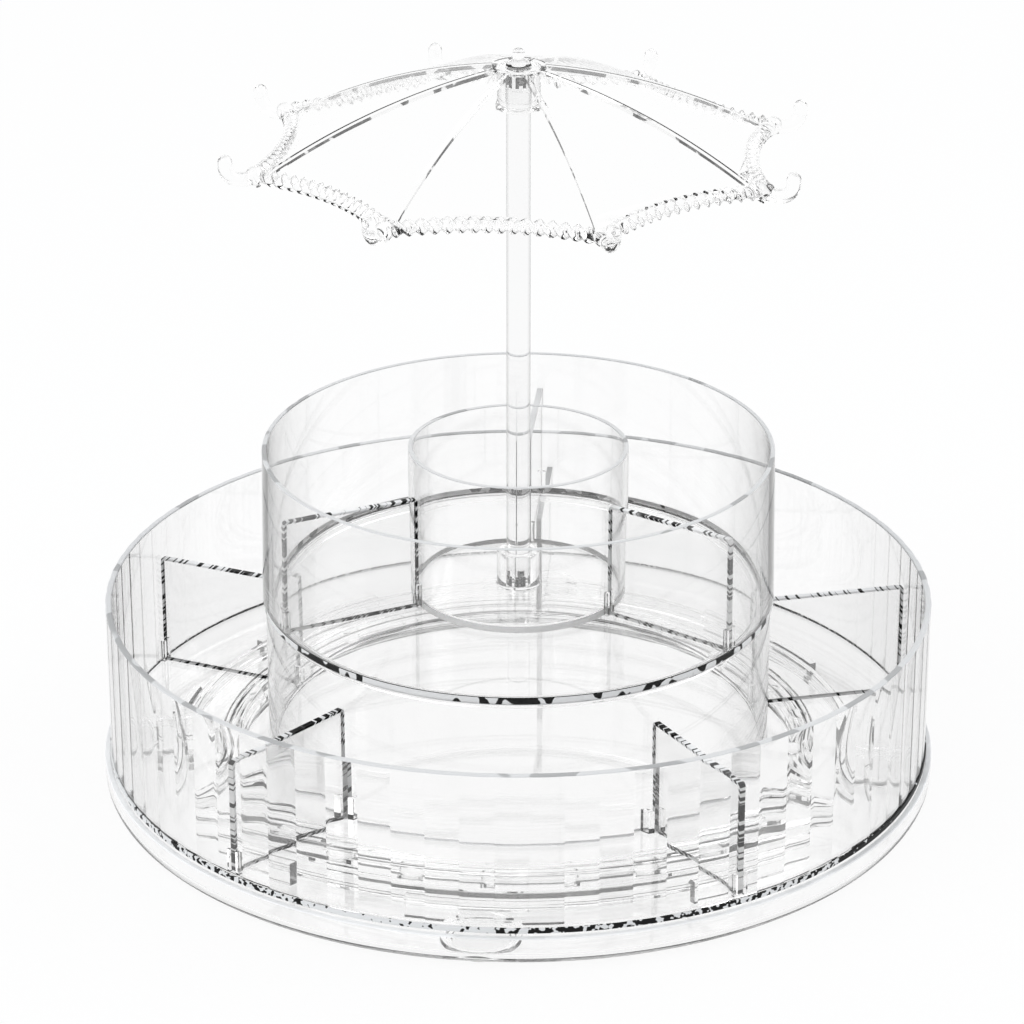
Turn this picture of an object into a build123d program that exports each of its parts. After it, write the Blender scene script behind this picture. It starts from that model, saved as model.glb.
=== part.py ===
from build123d import *
import os
from math import cos, pi, radians, sin

# Rotating makeup organiser of clear moulded plastic, in millimetres.
# A low turntable base carries a round fluted tray, a drum in the tray's middle
# carries a smaller cup, and a pole in the cup's centre carries an umbrella
# whose eight tips end in hooks for earrings and chains.
# The origin is the middle of the footprint, +Z is up and the front is -Y.

# Turntable base
base_radius = 142.3
base_rim_top = 11.5
base_floor = 2.2
base_wall = 2.0
base_edge_round = 5.0
base_inner_round = 3.0

# Soft feet, let into round bosses of the base
foot_radius = 11.25
foot_ring_radius = 126.5
foot_height = 4.0
foot_proud = 1.0
foot_count = 4
foot_edge = 0.5
foot_boss_wall = 1.8
foot_boss_roof = 1.0
foot_seat_clearance = 0.05

# Ball bearing between base and tray
bearing_radius = 99.0
ball_diameter = 6.0
ball_count = 24
ball_clearance = 0.1
race_width = 6.0
groove_depth = 0.7
cage_width = 8.4
cage_thickness = 1.6
cage_pocket_clearance = 0.2

# The tray's skirt outside the bearing, and the base's snap tabs that hold its lip
skirt_bearing_gap = 10.2
tab_thickness = 2.4
tab_span = 24.2
tab_count = 8
tab_top_gap = 1.0
barb_reach = 1.2
barb_height = 1.8
skirt_gap = 1.2
skirt_thickness = 2.0
skirt_lip_clearance = 0.5
skirt_lip_height = 1.6
skirt_lip_drop = 1.2

# Lower tray
tray_radius = 140.0
tray_bottom = 12.2
tray_floor_thickness = 2.0
tray_wall_height = 53.4
tray_wall_thickness = 2.2
flute_count = 80
flute_rise = 0.3

# Drum that the upper cup stands on
drum_radius = 85.8
drum_wall = 2.2
drum_height = 51.2

# Upper cup
cup_foot_radius = 86.8
cup_rim_radius = 85.9
cup_wall = 1.6
cup_floor = 1.8
cup_depth = 52.7
spigot_wall = 1.7
spigot_depth = 2.5
spigot_clearance = 0.3

# Centre cup and its pole socket
centre_radius = 37.0
centre_wall = 1.6
centre_floor = 1.6
socket_radius = 7.3
socket_height = 12.4
pole_clearance = 0.3
socket_lead_in = 0.8

# Dividers, and the pairs of guide ribs that hold their ends
divider_thickness = 2.0
divider_height = 40.0
divider_end_clearance = 0.3
divider_corner = 1.5
guide_width = 1.2
guide_height = 8.0
guide_overlap = 1.1
guide_root = 0.4
guide_side_clearance = 0.2
lower_divider_count = 5
upper_divider_count = 3

# Pole
pole_radius = 4.0
pole_top = 249.0
pole_groove_count = 12
pole_groove_radius = 0.5
pole_groove_length = 4.0
pole_end_chamfer = 0.5

# Umbrella canopy: the rib line runs from the crown down to a tip
panel_count = 8
rib_start_radius = 6.0
rib_start_drop = 0.2
rib_tip_radius = 88.0
rib_fall = 30.2
rib_bulge = 4.3
rib_width = 1.6
rib_top_drop = 0.4
rib_depth = 1.4
canopy_thickness = 1.5
crown_radius = 8.8
crown_thickness = 2.4

# Roped edge, hooks at its corners
edge_sag = 6.0
edge_lift = 0.8
rope_radius = 2.8
rope_above_tip = 1.4
tip_knob_radius = 3.1
hook_radius = 2.3
hook_below_rope = 0.7
hook_bend_radius = 4.8
hook_reach = 9.6
hook_end_rise = 1.5

# Umbrella socket under the crown, finial on top
umbrella_socket_radius = 6.95
umbrella_socket_depth = 11.6
umbrella_socket_roof = 1.0
umbrella_flange_radius = 7.45
umbrella_flange_height = 1.8
finial_dome_radius = 5.75
finial_dome_height = 2.0
finial_ball_radius = 2.15
finial_ball_height = 3.45

# Heights that follow from the sizes above
base_bottom = foot_proud
base_floor_top = base_bottom + base_floor
tray_floor_top = tray_bottom + tray_floor_thickness
tray_rim = tray_floor_top + tray_wall_height
cup_bottom = tray_floor_top + drum_height
cup_floor_top = cup_bottom + cup_floor
cup_rim = cup_floor_top + cup_depth
centre_floor_top = cup_floor_top + centre_floor
socket_top = centre_floor_top + socket_height
crown_bottom = pole_top + umbrella_socket_roof
crown_top = crown_bottom + crown_thickness
umbrella_socket_bottom = pole_top - umbrella_socket_depth
rib_start_height = crown_top - rib_start_drop
rib_tip_height = rib_start_height - rib_fall
rope_height = rib_tip_height + rope_above_tip
hook_height = rope_height - hook_below_rope
bend_top = hook_height + hook_bend_radius
hook_end_height = bend_top + hook_end_rise
tab_top = tray_bottom - tab_top_gap
skirt_lip_top = tab_top - barb_height - skirt_lip_drop

# Radii that follow from the sizes above
wall_inner_radius = tray_radius - tray_wall_thickness
cusp_radius = (tray_radius - flute_rise) / cos(pi / flute_count)
cup_inner_radius = cup_rim_radius - cup_wall
spigot_radius = drum_radius - drum_wall - spigot_clearance
pole_bore_radius = pole_radius + pole_clearance
skirt_inner_radius = bearing_radius + cage_width / 2 + skirt_bearing_gap
skirt_radius = skirt_inner_radius + skirt_thickness
barb_radius = skirt_radius + skirt_gap
tab_inner_radius = barb_radius + barb_reach
tab_outer_radius = tab_inner_radius + tab_thickness
skirt_lip_radius = tab_inner_radius - skirt_lip_clearance
foot_bore_radius = foot_radius + foot_seat_clearance
hook_end_radius = rib_tip_radius + hook_reach
bend_start = hook_end_radius - hook_bend_radius

# The ball centres lie midway between the base's floor and the tray
ball_height = (tray_bottom + base_floor_top) / 2
ball_radius = ball_diameter / 2
groove_radius = ball_radius + ball_clearance
race_height = ball_height - base_floor_top - groove_radius + groove_depth


def upright_plane(angle):
    """Plane that stands on the axis, its x outwards at the angle and its y up."""
    a = radians(angle)
    return Plane(origin=(0, 0, 0), x_dir=(cos(a), sin(a), 0), z_dir=(sin(a), -cos(a), 0))


def angles(count, first):
    """Evenly spread angles round a full turn."""
    return [first + 360 / count * k for k in range(count)]


def at_angle(radius, angle):
    """Point at a radius and an angle."""
    return (radius * cos(radians(angle)), radius * sin(radians(angle)))


def ring(inner, outer, low, high, mode=Mode.ADD):
    """Rectangle between two radii and two heights, in a profile to be turned."""
    with Locations(((inner + outer) / 2, (low + high) / 2)):
        Rectangle(outer - inner, high - low, mode=mode)


def guide_places(radius, rib_angles):
    """Places for pairs of guide ribs centred on a radius, one pair at each angle."""
    side = divider_thickness / 2 + guide_side_clearance + guide_width / 2
    places = []
    for angle in rib_angles:
        turn = Location((0, 0, 0), (0, 0, angle))
        places.append(turn * Location((radius, side, 0)))
        places.append(turn * Location((radius, -side, 0)))
    return places


lower_angles = angles(lower_divider_count, 90)
upper_angles = angles(upper_divider_count, 90)
tip_angles = angles(panel_count, 180 / panel_count)
foot_points = [at_angle(foot_ring_radius, angle) for angle in angles(foot_count, 0)]
ball_points = [at_angle(bearing_radius, angle) for angle in angles(ball_count, 0)]

os.makedirs("parts", exist_ok=True)


# Turntable base: a shallow dish with foot bosses, a ball race and snap tabs
with BuildPart() as base_plate:
    with BuildSketch(Plane.XZ) as dish:
        ring(0, base_radius, base_bottom, base_rim_top)
        ring(0, base_radius - base_wall, base_floor_top, base_rim_top, mode=Mode.SUBTRACT)
        fillet(dish.vertices().sort_by_distance((base_radius, base_bottom, 0))[0], base_edge_round)
        inner_corner = (base_radius - base_wall, base_floor_top, 0)
        fillet(dish.vertices().sort_by_distance(inner_corner)[0], base_inner_round)
        ring(bearing_radius - race_width / 2, bearing_radius + race_width / 2,
             base_floor_top, base_floor_top + race_height)
        with Locations((bearing_radius, ball_height)):
            Circle(groove_radius, mode=Mode.SUBTRACT)
    revolve(axis=Axis.Z)
    for angle in angles(tab_count, 0):
        with BuildSketch(upright_plane(angle - tab_span / 2)):
            ring(tab_inner_radius, tab_outer_radius, base_floor_top, tab_top)
            with BuildLine():
                Polyline(
                    (tab_inner_radius, tab_top - barb_height),
                    (barb_radius, tab_top - barb_height),
                    (tab_inner_radius, tab_top),
                    close=True,
                )
            make_face()
        revolve(axis=Axis.Z, revolution_arc=tab_span)
    with BuildSketch(Plane.XY.offset(base_bottom)):
        with Locations(*foot_points):
            Circle(foot_bore_radius + foot_boss_wall)
    extrude(amount=foot_height - foot_proud + foot_boss_roof)
    with BuildSketch(Plane.XY.offset(base_bottom)):
        with Locations(*foot_points):
            Circle(foot_bore_radius)
    extrude(amount=foot_height - foot_proud, mode=Mode.SUBTRACT)
base_plate.part.label = "base_plate"
export_step(base_plate.part, "parts/base_plate.step")


# Four soft feet
with BuildPart() as base_feet:
    with BuildSketch():
        with Locations(*foot_points):
            Circle(foot_radius)
    extrude(amount=foot_height)
    chamfer(base_feet.edges().group_by(Axis.Z)[0], foot_edge)
base_feet.part.label = "base_feet"
export_step(base_feet.part, "parts/base_feet.step")


# Bearing cage: a flat ring with a pocket for each ball
with BuildPart() as bearing_cage:
    with BuildSketch(Plane.XY.offset(ball_height - cage_thickness / 2)):
        Circle(bearing_radius + cage_width / 2)
        Circle(bearing_radius - cage_width / 2, mode=Mode.SUBTRACT)
        with Locations(*ball_points):
            Circle(ball_radius + cage_pocket_clearance, mode=Mode.SUBTRACT)
    extrude(amount=cage_thickness)
bearing_cage.part.label = "bearing_cage"
export_step(bearing_cage.part, "parts/bearing_cage.step")


# Bearing balls
with BuildPart() as bearing_balls:
    with Locations(*[(x, y, ball_height) for x, y in ball_points]):
        Sphere(ball_radius)
bearing_balls.part.label = "bearing_balls"
export_step(bearing_balls.part, "parts/bearing_balls.step")


# Tray floor: a disc with the upper ball race and the snap skirt underneath
with BuildPart() as tray_floor:
    with BuildSketch(Plane.XZ):
        ring(0, tray_radius, tray_bottom, tray_floor_top)
        ring(bearing_radius - race_width / 2, bearing_radius + race_width / 2,
             tray_bottom - race_height, tray_bottom)
        with Locations((bearing_radius, ball_height)):
            Circle(groove_radius, mode=Mode.SUBTRACT)
        ring(skirt_inner_radius, skirt_radius,
             skirt_lip_top - skirt_lip_height, tray_bottom)
        ring(skirt_radius, skirt_lip_radius, skirt_lip_top - skirt_lip_height, skirt_lip_top)
    revolve(axis=Axis.Z)
tray_floor.part.label = "tray_floor"
export_step(tray_floor.part, "parts/tray_floor.step")


# Tray wall: shallow flutes outside, smooth inside, with guide ribs
with BuildPart() as tray_wall:
    with BuildSketch(Plane.XY.offset(tray_floor_top)):
        with BuildLine():
            half_pitch = 180 / flute_count
            for angle in angles(flute_count, 0):
                ThreePointArc(
                    at_angle(cusp_radius, angle - half_pitch),
                    at_angle(tray_radius, angle),
                    at_angle(cusp_radius, angle + half_pitch),
                )
        make_face()
        Circle(wall_inner_radius, mode=Mode.SUBTRACT)
    extrude(amount=tray_wall_height)
    guide_reach = divider_end_clearance + guide_overlap
    with BuildSketch(Plane.XY.offset(tray_floor_top)):
        with Locations(*guide_places(wall_inner_radius - guide_reach / 2, lower_angles)):
            Rectangle(guide_reach + 2 * guide_root, guide_width)
    extrude(amount=guide_height)
tray_wall.part.label = "tray_wall"
export_step(tray_wall.part, "parts/tray_wall.step")


# Drum: an open tube in the middle of the tray, with guide ribs outside
lower_divider_inner = cup_foot_radius + divider_end_clearance
with BuildPart() as drum:
    with BuildSketch(Plane.XY.offset(tray_floor_top)):
        Circle(drum_radius)
        Circle(drum_radius - drum_wall, mode=Mode.SUBTRACT)
    extrude(amount=drum_height)
    drum_reach = lower_divider_inner - drum_radius + guide_overlap
    with BuildSketch(Plane.XY.offset(tray_floor_top)):
        with Locations(*guide_places(drum_radius + drum_reach / 2, lower_angles)):
            Rectangle(drum_reach + 2 * guide_root, guide_width)
    extrude(amount=guide_height)
drum.part.label = "drum"
export_step(drum.part, "parts/drum.step")


def divider(name, inner, outer, low, angle):
    """Flat plate with rounded corners, standing on edge between two radii."""
    with BuildPart() as plate:
        with BuildSketch(upright_plane(angle)):
            with Locations(((inner + outer) / 2, low + divider_height / 2)):
                RectangleRounded(outer - inner, divider_height, divider_corner)
        extrude(amount=divider_thickness / 2, both=True)
    plate.part.label = name
    export_step(plate.part, "parts/" + name + ".step")


# Dividers of the lower tray, each between the drum and the tray wall
lower_divider_outer = wall_inner_radius - divider_end_clearance
for number, angle in enumerate(lower_angles, start=1):
    name = "lower_divider_" + str(number)
    divider(name, lower_divider_inner, lower_divider_outer, tray_floor_top, angle)

# Dividers of the upper cup, each between the centre cup and the cup's wall
upper_divider_inner = centre_radius + divider_end_clearance
upper_divider_outer = cup_inner_radius - divider_end_clearance
for number, angle in enumerate(upper_angles, start=1):
    name = "upper_divider_" + str(number)
    divider(name, upper_divider_inner, upper_divider_outer, cup_floor_top, angle)


# Upper cup: stands on the drum, with a spigot ring that drops inside it
with BuildPart() as upper_cup:
    with BuildSketch(Plane.XZ):
        with BuildLine():
            Polyline(
                (0, cup_bottom),
                (cup_foot_radius, cup_bottom),
                (cup_rim_radius, cup_rim),
                (cup_inner_radius, cup_rim),
                (cup_inner_radius, cup_floor_top),
                (0, cup_floor_top),
                close=True,
            )
        make_face()
        ring(spigot_radius - spigot_wall, spigot_radius, cup_bottom - spigot_depth, cup_bottom)
    revolve(axis=Axis.Z)
    with BuildSketch(Plane.XY.offset(cup_floor_top)):
        with Locations(*guide_places(cup_inner_radius - guide_reach / 2, upper_angles)):
            Rectangle(guide_reach + 2 * guide_root, guide_width)
    extrude(amount=guide_height)
upper_cup.part.label = "upper_cup"
export_step(upper_cup.part, "parts/upper_cup.step")


# Centre cup: stands on the upper cup's floor, with the pole's socket inside
with BuildPart() as centre_cup:
    with BuildSketch(Plane.XZ):
        ring(0, centre_radius, cup_floor_top, centre_floor_top)
        ring(centre_radius - centre_wall, centre_radius, cup_floor_top, cup_rim)
        with BuildLine():
            Polyline(
                (pole_bore_radius, centre_floor_top),
                (socket_radius, centre_floor_top),
                (socket_radius, socket_top),
                (pole_bore_radius + socket_lead_in, socket_top),
                (pole_bore_radius, socket_top - socket_lead_in),
                close=True,
            )
        make_face()
    revolve(axis=Axis.Z)
    with BuildSketch(Plane.XY.offset(cup_floor_top)):
        with Locations(*guide_places(centre_radius + guide_reach / 2, upper_angles)):
            Rectangle(guide_reach + 2 * guide_root, guide_width)
    extrude(amount=guide_height)
centre_cup.part.label = "centre_cup"
export_step(centre_cup.part, "parts/centre_cup.step")


# Pole: a clear rod with short grooves round each end
with BuildPart() as pole:
    with BuildSketch(Plane.XY.offset(centre_floor_top)):
        Circle(pole_radius)
    extrude(amount=pole_top - centre_floor_top)
    chamfer(pole.edges().group_by(Axis.Z)[0] + pole.edges().group_by(Axis.Z)[-1], pole_end_chamfer)
    for groove_bottom in (centre_floor_top, pole_top - pole_groove_length):
        with BuildSketch(Plane.XY.offset(groove_bottom)):
            with PolarLocations(pole_radius, pole_groove_count):
                Circle(pole_groove_radius)
        extrude(amount=pole_groove_length, mode=Mode.SUBTRACT)
pole.part.label = "pole"
export_step(pole.part, "parts/pole.step")


# Roped edge: eight hollow-curved lengths of cord, a knob at each corner
chord_distance = rib_tip_radius * cos(pi / panel_count)
chord_half = rib_tip_radius * sin(pi / panel_count)
edge_middle = (chord_distance - edge_sag, 0, rope_height + edge_lift)
with BuildPart() as rope_length:
    with BuildLine() as rope_path:
        ThreePointArc(
            (chord_distance, -chord_half, rope_height),
            edge_middle,
            (chord_distance, chord_half, rope_height),
        )
    with BuildSketch(Plane(origin=rope_path.line @ 0, z_dir=rope_path.line % 0)):
        Circle(rope_radius)
    sweep()
with BuildPart() as canopy_edge:
    with PolarLocations(0, panel_count):
        add(rope_length.part)
    with Locations(*[(*at_angle(rib_tip_radius, angle), rope_height) for angle in tip_angles]):
        Sphere(tip_knob_radius)
canopy_edge.part.label = "canopy_edge"
export_step(canopy_edge.part, "parts/canopy_edge.step")


def rib_points(drop):
    """Inner and outer end of the rib line, lowered by drop."""
    inner = (rib_start_radius, rib_start_height - drop)
    outer = (rib_tip_radius, rib_tip_height - drop)
    return inner, outer


# One panel: flat across, between the ribs on either side of the +X direction
with BuildPart() as panel:
    for angle in (-180 / panel_count, 180 / panel_count):
        with BuildSketch(upright_plane(angle)):
            with BuildLine():
                top_inner, top_outer = rib_points(0)
                low_inner, low_outer = rib_points(canopy_thickness)
                SagittaArc(top_inner, top_outer, rib_bulge)
                Line(top_outer, low_outer)
                SagittaArc(low_outer, low_inner, -rib_bulge)
                Line(low_inner, top_inner)
            make_face()
    loft(ruled=True)
    with BuildSketch(Plane.XY.offset(rib_tip_height - rope_radius)):
        with BuildLine():
            corner_out = (rib_tip_radius * 2, chord_half * 2)
            ThreePointArc(
                (chord_distance, -chord_half),
                (edge_middle[0], 0),
                (chord_distance, chord_half),
            )
            Polyline(
                (chord_distance, chord_half),
                corner_out,
                (corner_out[0], -corner_out[1]),
                (chord_distance, -chord_half),
            )
        make_face()
    extrude(amount=crown_top - rib_tip_height, mode=Mode.SUBTRACT)

# Canopy: eight panels, a rib under each fold and a round crown in the middle
with BuildPart() as canopy:
    with PolarLocations(0, panel_count):
        add(panel.part)
    for angle in tip_angles:
        with BuildSketch(upright_plane(angle)):
            with BuildLine():
                rib_inner, rib_outer = rib_points(rib_top_drop)
                low_inner, low_outer = rib_points(canopy_thickness + rib_depth)
                SagittaArc(rib_inner, rib_outer, rib_bulge)
                Line(rib_outer, low_outer)
                SagittaArc(low_outer, low_inner, -rib_bulge)
                Line(low_inner, rib_inner)
            make_face()
        extrude(amount=rib_width / 2, both=True)
    with BuildSketch(Plane.XY.offset(crown_bottom)):
        Circle(crown_radius)
    extrude(amount=crown_thickness)
    with BuildSketch(Plane.XY.offset(crown_bottom)):
        Circle(umbrella_socket_radius)
    extrude(amount=-(crown_bottom - rib_tip_height), mode=Mode.SUBTRACT)
    add(canopy_edge.part, mode=Mode.SUBTRACT)
canopy.part.label = "canopy"
export_step(canopy.part, "parts/canopy.step")


# Eight hooks: each runs out from a corner, then turns up
bend_middle = hook_bend_radius * sin(pi / 4)
with BuildPart() as one_hook:
    with BuildLine() as hook_path:
        Line((rib_tip_radius, 0, hook_height), (bend_start, 0, hook_height))
        ThreePointArc(
            (bend_start, 0, hook_height),
            (bend_start + bend_middle, 0, bend_top - bend_middle),
            (hook_end_radius, 0, bend_top),
        )
        Line((hook_end_radius, 0, bend_top), (hook_end_radius, 0, hook_end_height))
    with BuildSketch(Plane(origin=hook_path.line @ 0, z_dir=hook_path.line % 0)):
        Circle(hook_radius)
    sweep()
    with Locations((hook_end_radius, 0, hook_end_height)):
        Sphere(hook_radius)
with BuildPart() as hooks:
    with PolarLocations(0, panel_count, start_angle=tip_angles[0]):
        add(one_hook.part)
    add(canopy_edge.part, mode=Mode.SUBTRACT)
hooks.part.label = "hooks"
export_step(hooks.part, "parts/hooks.step")


# Umbrella socket: a flanged tube under the crown, closed above the pole's end
with BuildPart() as umbrella_socket:
    with BuildSketch(Plane.XZ):
        ring(0, umbrella_socket_radius, umbrella_socket_bottom, crown_bottom)
        ring(0, umbrella_flange_radius,
             umbrella_socket_bottom, umbrella_socket_bottom + umbrella_flange_height)
        ring(0, pole_bore_radius, umbrella_socket_bottom, pole_top, mode=Mode.SUBTRACT)
        with BuildLine():
            Polyline(
                (pole_bore_radius, umbrella_socket_bottom),
                (pole_bore_radius + socket_lead_in, umbrella_socket_bottom),
                (pole_bore_radius, umbrella_socket_bottom + socket_lead_in),
                close=True,
            )
        make_face(mode=Mode.SUBTRACT)
    revolve(axis=Axis.Z)
umbrella_socket.part.label = "umbrella_socket"
export_step(umbrella_socket.part, "parts/umbrella_socket.step")


# Finial: a low dome on the crown with a small ball on top
with BuildPart() as finial:
    with Locations((0, 0, crown_top + finial_dome_height - finial_dome_radius)):
        Sphere(finial_dome_radius)
    split(bisect_by=Plane.XY.offset(crown_top), keep=Keep.TOP)
    with Locations((0, 0, crown_top + finial_ball_height)):
        Sphere(finial_ball_radius)
finial.part.label = "finial"
export_step(finial.part, "parts/finial.step")
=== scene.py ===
import bpy
from math import acos, asin, cos, degrees, pi, radians, sin, sqrt
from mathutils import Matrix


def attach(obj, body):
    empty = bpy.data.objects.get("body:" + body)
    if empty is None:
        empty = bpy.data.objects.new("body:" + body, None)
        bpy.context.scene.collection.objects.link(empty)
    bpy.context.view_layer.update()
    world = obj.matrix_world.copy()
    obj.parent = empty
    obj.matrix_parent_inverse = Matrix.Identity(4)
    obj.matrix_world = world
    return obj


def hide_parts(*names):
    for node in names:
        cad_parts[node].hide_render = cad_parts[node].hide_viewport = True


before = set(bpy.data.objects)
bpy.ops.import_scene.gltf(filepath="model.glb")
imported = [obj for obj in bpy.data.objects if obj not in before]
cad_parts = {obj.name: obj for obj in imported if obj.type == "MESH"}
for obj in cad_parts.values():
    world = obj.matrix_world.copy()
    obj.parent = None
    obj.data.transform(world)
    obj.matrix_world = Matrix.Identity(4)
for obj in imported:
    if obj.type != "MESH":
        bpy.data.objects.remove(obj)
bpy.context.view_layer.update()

# Sizes are in millimetres and angles in degrees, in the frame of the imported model.
MM = 0.001

# Camera: where the photograph was taken from
camera_distance = 1225.9
camera_height = 630.6
camera_side = 5.3
camera_down = 23.59
camera_turn = 0.10
camera_lens = 139.34

# Base dish
base_radius = 142.3
base_bottom = 1.0
base_floor_top = 3.2
base_rim_top = 11.5
base_wall = 2.0
base_edge_round = 5.0
base_inner_round = 3.0
foot_radius = 11.25
foot_ring_radius = 126.5
foot_top = 4.0
foot_count = 4
sole_hollow = 0.3
sole_hollow_edge = 2.2
sole_ring_edge = 1.6
sole_chamfer = 0.5
recess_play = 0.05
boss_radius = 13.1
boss_top = 5.0
tab_radius = 119.0
tab_thickness = 2.4
tab_span = 24.2
tab_count = 8
tab_top = 11.2
barb_reach = 1.2
barb_height = 1.8

# Bearing
bearing_radius = 99.0
ball_radius = 3.0
ball_height = 7.7
ball_count = 24
groove_radius = 3.1
race_half_width = 3.0
race_height = 2.1
cage_half_width = 4.2
cage_thickness = 1.6
pocket_radius = 3.2

# Tray
tray_radius = 140.0
tray_bottom = 12.2
tray_floor_top = 14.2
tray_rim = 67.6
tray_wall = 2.2
flute_count = 80
flute_rise = 0.3
flute_steps = 8
floor_reach = 0.4
wall_root = 0.6
skirt_radius = 115.4
skirt_thickness = 2.0
skirt_lip_radius = 117.3
skirt_lip_top = 8.2
skirt_bottom = 6.6
drum_radius = 85.8
drum_wall = 2.2
drum_top = 65.4

# Cups
cup_foot_radius = 86.8
cup_rim_radius = 85.9
cup_wall = 1.6
cup_bottom = 65.4
cup_floor_top = 67.2
cup_rim = 119.9
cup_round = 1.0
spigot_radius = 83.3
spigot_wall = 1.7
spigot_depth = 2.5
centre_radius = 37.0
centre_wall = 1.6
centre_floor_top = 68.8
socket_radius = 7.3
socket_top = 81.2
pole_bore_radius = 4.3
socket_lead_in = 0.8

# Dividers and the short guide ribs at their feet
divider_thickness = 2.0
divider_height = 40.0
divider_corner = 1.2
# Width of the strip along a divider's outline that is painted with reflections
painted_edge_strip = 0.7
lower_divider_inner = 87.1
lower_divider_outer = 137.5
lower_divider_count = 5
upper_divider_inner = 37.3
upper_divider_outer = 84.0
upper_divider_count = 3
guide_width = 1.2
guide_height = 8.0
guide_side = 1.8
guide_reach = 1.1
guide_root = 0.4
centre_guide_rise = 0.45

# Pole
pole_radius = 4.0
pole_top = 249.0
pole_end_chamfer = 0.5
pole_tooth_depth = 0.5
pole_tooth_count = 12
pole_tooth_length = 4.0
pole_tooth_run_out = 1.0

# Umbrella
panel_count = 8
rib_start_radius = 6.0
rib_start_height = 252.2
rib_tip_radius = 88.0
rib_tip_height = 222.0
rib_bulge = 4.3
rib_width = 1.6
rib_depth = 1.4
rib_root = 1.0
rib_steps = 24
canopy_thickness = 1.5
crown_radius = 8.8
crown_bottom = 250.0
crown_top = 252.4
tip_angle = 180 / panel_count
edge_sag = 6.0
edge_lift = 0.8
edge_tuck = 0.3
rope_radius = 2.8
rope_height = 223.4
rope_flatness = 0.56
rope_lay = 8.0
knob_radius = 3.1
hook_root = 1.5
hook_radius = 2.3
hook_height = 222.7
hook_bend_radius = 4.8
hook_reach = 97.6
hook_end_height = 229.0
hub_radius = 6.95
hub_bottom = 237.4
hub_flange_radius = 7.45
hub_flange_height = 1.8
dome_radius = 4.35
dome_height = 2.0
neck_radius = 0.9
finial_radius = 2.15
finial_height = 255.85

# Film of air between pieces that rest on each other, so that both clear faces show
seat_gap = 0.03

# How far solids reach into each other where they are joined, and points that count as one
overlap = 0.5
same_point = 0.004

# Bands along rims and feet that are painted paler or darker than the walls: painted reflections
rim_band = 0.5
tray_rim_band = 0.6
foot_band = 0.8
drum_foot_band = 0.9

plastic_ior = 1.49


def place_camera():
    """Camera at the photograph's place, looking down at the organizer."""
    side = radians(camera_side)
    away = camera_distance * MM
    spot = (away * sin(side), -away * cos(side), camera_height * MM)
    turn = (radians(90 - camera_down), 0, radians(camera_side + camera_turn))
    bpy.ops.object.camera_add(location=spot, rotation=turn)
    camera = bpy.context.object
    camera.data.sensor_width = 36
    camera.data.lens = camera_lens
    camera.data.clip_end = 20
    bpy.context.scene.camera = camera


def worked_out(tree, operation, *given):
    """Output of a maths node, whose inputs are other outputs or plain numbers."""
    node = tree.nodes.new("ShaderNodeMath")
    node.operation = operation
    for socket, value in zip(node.inputs, given):
        if isinstance(value, float):
            socket.default_value = value
        else:
            tree.links.new(value, socket)
    return node.outputs[0]


def sees_background(tree):
    """Output that is 1 for the rays that show the background: camera, glossy and transmission."""
    paths = tree.nodes.new("ShaderNodeLightPath").outputs
    seen = worked_out(tree, "MAXIMUM", paths["Is Camera Ray"], paths["Is Glossy Ray"])
    return worked_out(tree, "MAXIMUM", seen, paths["Is Transmission Ray"])


def mixed(tree, share, first, second, output):
    """Mixes two shaders into a tree's output, by a share."""
    mix = tree.nodes.new("ShaderNodeMixShader")
    tree.links.new(share, mix.inputs[0])
    tree.links.new(first.outputs[0], mix.inputs[1])
    tree.links.new(second.outputs[0], mix.inputs[2])
    tree.links.new(mix.outputs[0], tree.nodes[output].inputs["Surface"])


def make_studio():
    """White world, a wide pale floor and two soft lamps."""
    world = bpy.data.worlds.new("studio")
    bpy.context.scene.world = world
    world.use_nodes = True
    tree = world.node_tree
    lit = tree.nodes["Background"]
    lit.inputs["Color"].default_value = (0.9, 0.93, 0.96, 1)
    lit.inputs["Strength"].default_value = 0.8
    white = tree.nodes.new("ShaderNodeBackground")
    white.inputs["Color"].default_value = (1, 1, 1, 1)
    white.inputs["Strength"].default_value = 1.0
    mixed(tree, sees_background(tree), lit, white, "World Output")

    bpy.ops.mesh.primitive_plane_add(size=8, location=(0, 0, 0))
    floor = bpy.context.object
    floor.name = "studio_floor"
    paint = bpy.data.materials.new("studio_floor_white")
    paint.use_nodes = True
    tree = paint.node_tree
    matt = tree.nodes["Principled BSDF"]
    matt.inputs["Base Color"].default_value = (0.9, 0.9, 0.9, 1)
    matt.inputs["Roughness"].default_value = 0.9
    glow = tree.nodes.new("ShaderNodeEmission")
    share = worked_out(tree, "MULTIPLY", sees_background(tree), 0.93)
    mixed(tree, share, matt, glow, "Material Output")
    floor.data.materials.append(paint)

    for spot, size, power in (((-1.2, -0.8, 1.6), 1.4, 14), ((1.4, 0.4, 1.4), 1.2, 9)):
        bpy.ops.object.light_add(type="AREA", location=spot)
        lamp = bpy.context.object
        lamp.data.size = size
        lamp.data.energy = power
        track = lamp.constraints.new("TRACK_TO")
        track.target = floor
        track.track_axis = "TRACK_NEGATIVE_Z"
        track.up_axis = "UP_Y"


def noise(tree, place, scale, detail):
    """Output of a noise at a place."""
    node = tree.nodes.new("ShaderNodeTexNoise")
    node.inputs["Detail"].default_value = detail
    tree.links.new(place, node.inputs["Vector"])
    tree.links.new(scale, node.inputs["Scale"])
    return node.outputs["Fac"]


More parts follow.
